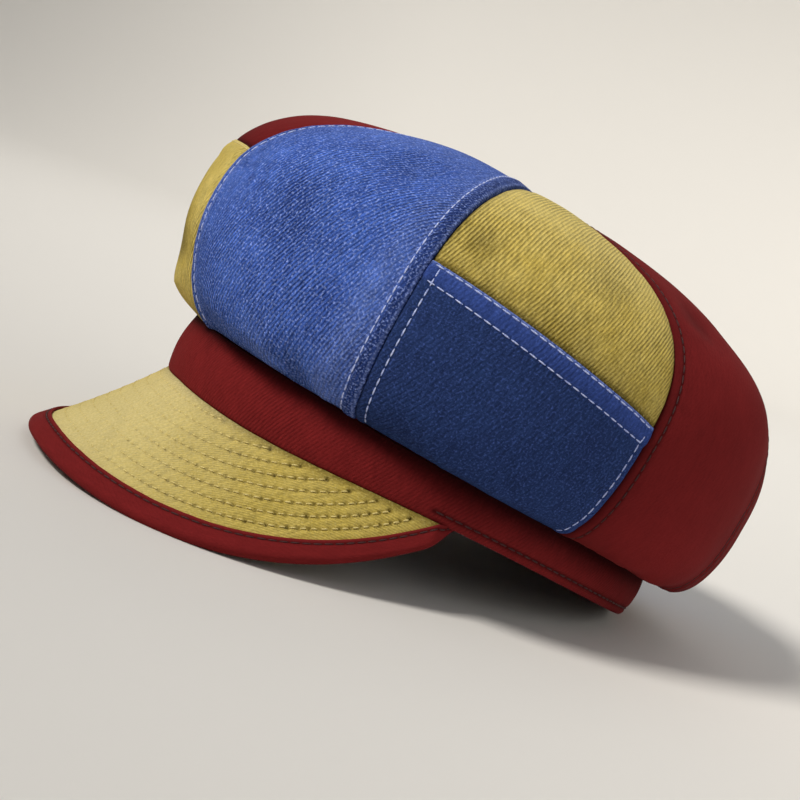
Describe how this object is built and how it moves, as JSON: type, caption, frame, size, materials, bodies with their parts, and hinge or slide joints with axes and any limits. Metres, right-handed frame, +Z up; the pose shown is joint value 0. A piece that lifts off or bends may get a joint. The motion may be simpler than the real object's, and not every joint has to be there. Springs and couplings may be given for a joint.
{
  "type": "octagonal cap",
  "caption": "Soft, puffy octagonal cap of patchwork denim gores on a band, with a stitched visor bound along its edge; it rests on its band and visor.",
  "frame": {"origin": "on the surface that the cap rests on, under the middle of its bounding box", "axes": "+Z up from that surface, -Y towards the visor, +X towards the wearer's left"},
  "size_m": [0.2102, 0.2694, 0.1442],
  "materials": {
    "light_blue_denim": "matte cotton twill",
    "dark_blue_denim": "matte cotton twill",
    "yellow_denim": "matte cotton twill",
    "red_denim": "matte cotton twill"
  },
  "bodies": {
    "root": {"gore_left_1": "light_blue_denim", "gore_left_2_lower": "dark_blue_denim", "gore_left_2_upper": "yellow_denim", "gore_left_3": "red_denim", "gore_left_4": "red_denim", "gore_right_1_lower": "yellow_denim", "gore_right_1_upper": "red_denim", "gore_right_2": "dark_blue_denim", "gore_right_3": "yellow_denim", "gore_right_4": "light_blue_denim", "band": "red_denim", "visor": "yellow_denim", "visor_binding": "red_denim"}
  },
  "joints": []
}
